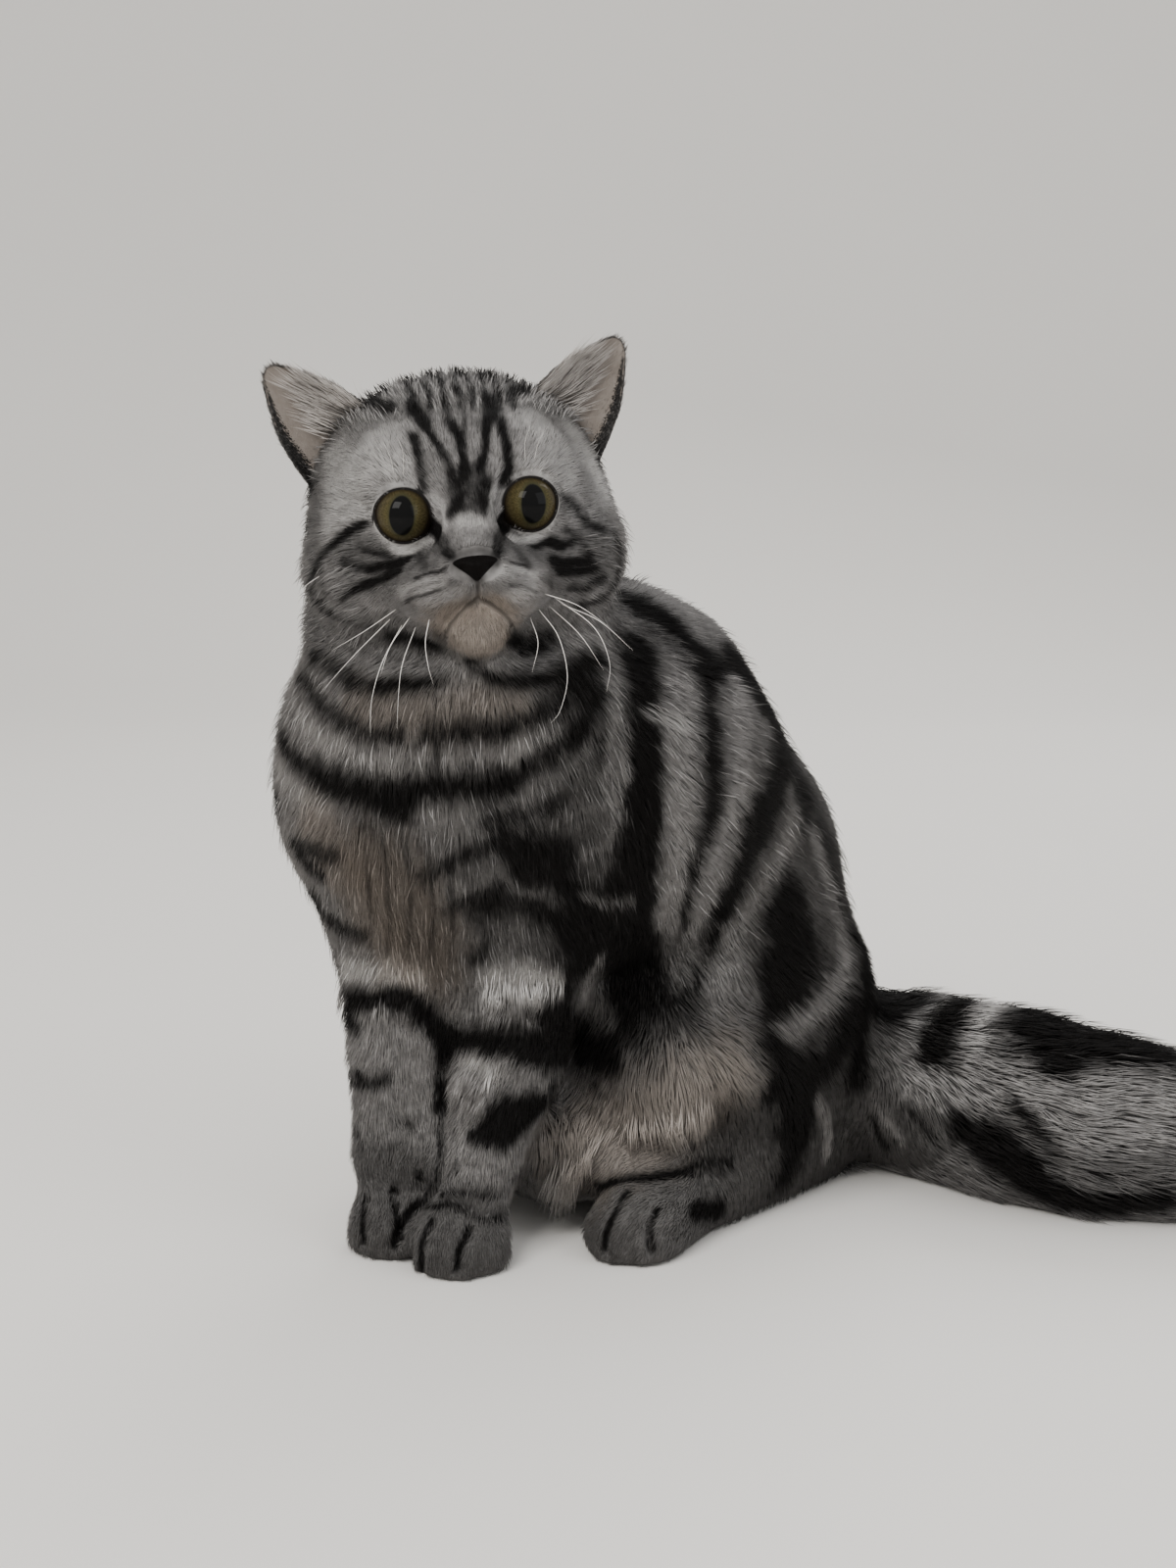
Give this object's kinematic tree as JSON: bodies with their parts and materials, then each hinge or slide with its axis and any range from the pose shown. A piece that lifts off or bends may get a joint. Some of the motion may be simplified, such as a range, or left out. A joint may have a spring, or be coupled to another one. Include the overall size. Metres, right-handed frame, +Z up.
{
  "type": "life-size sitting cat",
  "caption": "Life-size model of a stocky, plush-coated silver tabby cat, sitting upright with its tail laid out beside it.",
  "frame": {"origin": "on the ground, under the centre of the whole cat's bounding box", "axes": "+Z up; -Y the way the face looks; +X to the cat's own left, where its tail lies"},
  "size_m": [0.4684, 0.2464, 0.35],
  "materials": {
    "silver_coat": "short plush fur, silver grey with charcoal bands, matt",
    "charcoal_coat": "short plush fur, mostly charcoal with silver bands, matt",
    "buff_coat": "longer, softer fur of the belly and thighs, warm grey to buff",
    "ear_skin": "thin pinkish grey skin with fine pale hair",
    "eye": "wet, glossy eye, olive amber round an upright oval pupil",
    "nose_leather": "fine-grained, slightly moist nose leather, near black",
    "whisker": "white, stiff hair with a soft sheen"
  },
  "bodies": {
    "root": {"head": "silver_coat", "nose": "nose_leather", "neck": "silver_coat", "trunk": "charcoal_coat", "tail_base": "charcoal_coat", "tail_tip": "silver_coat", "ear_left": "ear_skin", "eye_left": "eye", "foreleg_left": "silver_coat", "forepaw_left": "charcoal_coat", "hindleg_left": "buff_coat", "hindfoot_left": "charcoal_coat", "ear_right": "ear_skin", "eye_right": "eye", "foreleg_right": "silver_coat", "forepaw_right": "charcoal_coat", "hindleg_right": "buff_coat", "hindfoot_right": "charcoal_coat"}
  },
  "joints": []
}
